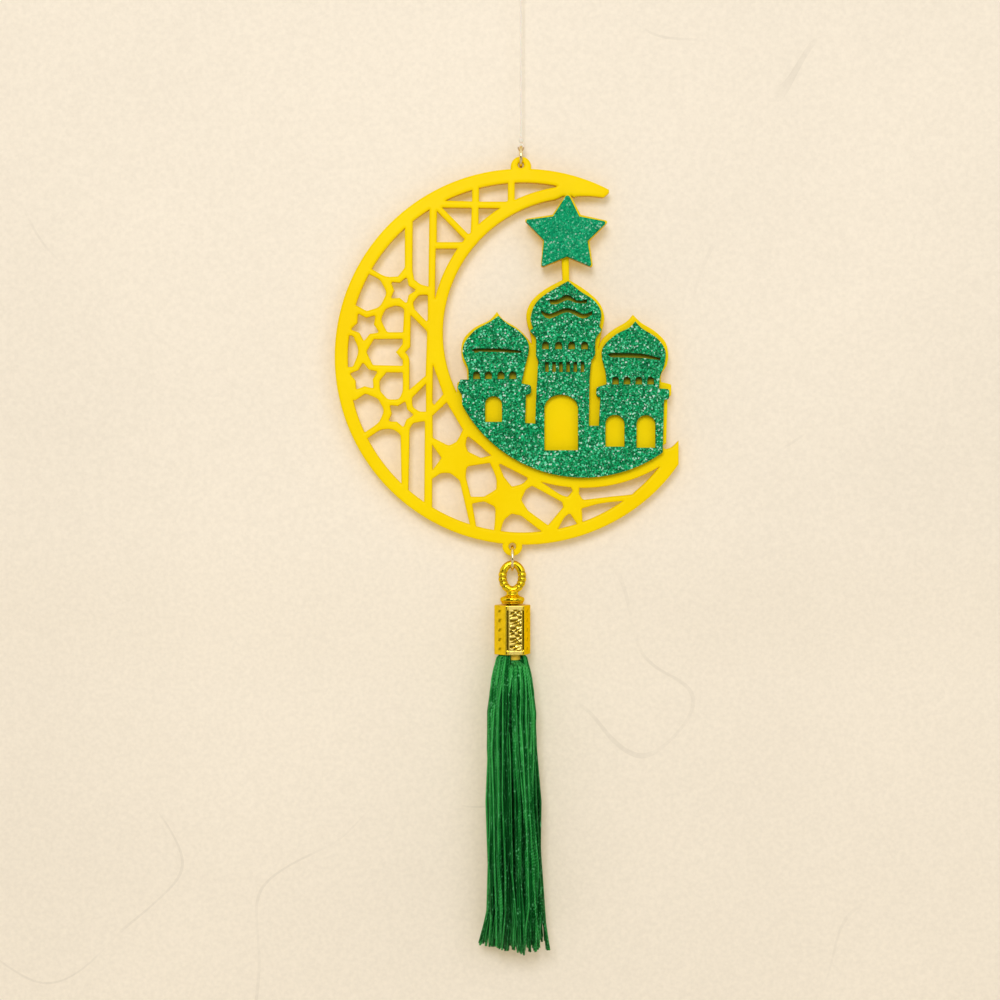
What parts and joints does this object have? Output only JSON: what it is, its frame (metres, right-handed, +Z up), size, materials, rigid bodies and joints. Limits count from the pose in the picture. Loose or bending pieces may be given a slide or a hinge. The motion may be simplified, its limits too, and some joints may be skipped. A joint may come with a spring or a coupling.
{
  "type": "hanging crescent ornament",
  "caption": "Flat pierced crescent with a glued-on glitter mosque and star, hung by a thread and a jump ring, with a capped yarn tassel swinging below on a second ring.",
  "frame": {"origin": "the hanging point, at the inside top of the thread's hanging loop, on the thread's axis", "axes": "+Z up along the thread, +X to the right as seen from the front, +Y to the back; the glitter front faces -Y"},
  "size_m": [0.0962, 0.0169, 0.2808],
  "materials": {
    "thread": "thin translucent white thread",
    "ring_metal": "polished gold",
    "yellow_plastic": "glossy yellow",
    "green_glitter": "green glitter",
    "plated_plastic": "gold plated",
    "green_yarn": "silky green yarn"
  },
  "bodies": {
    "thread": {"hanging_loop": "thread", "loop_knot": "thread", "hanging_cord": "thread", "ring_knot": "thread", "ring_eye": "thread"},
    "upper_ring": {"top_ring": "ring_metal"},
    "crescent": {"crescent_plate": "yellow_plastic", "mosque_sheet": "green_glitter", "star_sheet": "green_glitter"},
    "lower_ring": {"bottom_ring": "ring_metal"},
    "tassel": {"cap_finial": "plated_plastic", "cap_barrel": "plated_plastic", "core_plug": "plated_plastic", "tassel_yarn": "green_yarn", "head_binding": "green_yarn"}
  },
  "joints": [
    {"name": "eye_swing", "type": "hinge", "parent": "thread", "child": "upper_ring", "pos_m": [0, 0, -0.05535], "axis": [1, 0, 0], "range_deg": [-35, 35]},
    {"name": "crescent_swing", "type": "hinge", "parent": "upper_ring", "child": "crescent", "pos_m": [0, 0, -0.06055], "axis": [0, 1, 0], "range_deg": [-45, 45]},
    {"name": "lower_ring_swing", "type": "hinge", "parent": "crescent", "child": "lower_ring", "pos_m": [-0.0024, 0, -0.16704], "axis": [0, 1, 0], "range_deg": [-60, 60]},
    {"name": "tassel_swing", "type": "hinge", "parent": "lower_ring", "child": "tassel", "pos_m": [-0.0024, 0, -0.17189], "axis": [1, 0, 0], "range_deg": [-60, 60]}
  ]
}
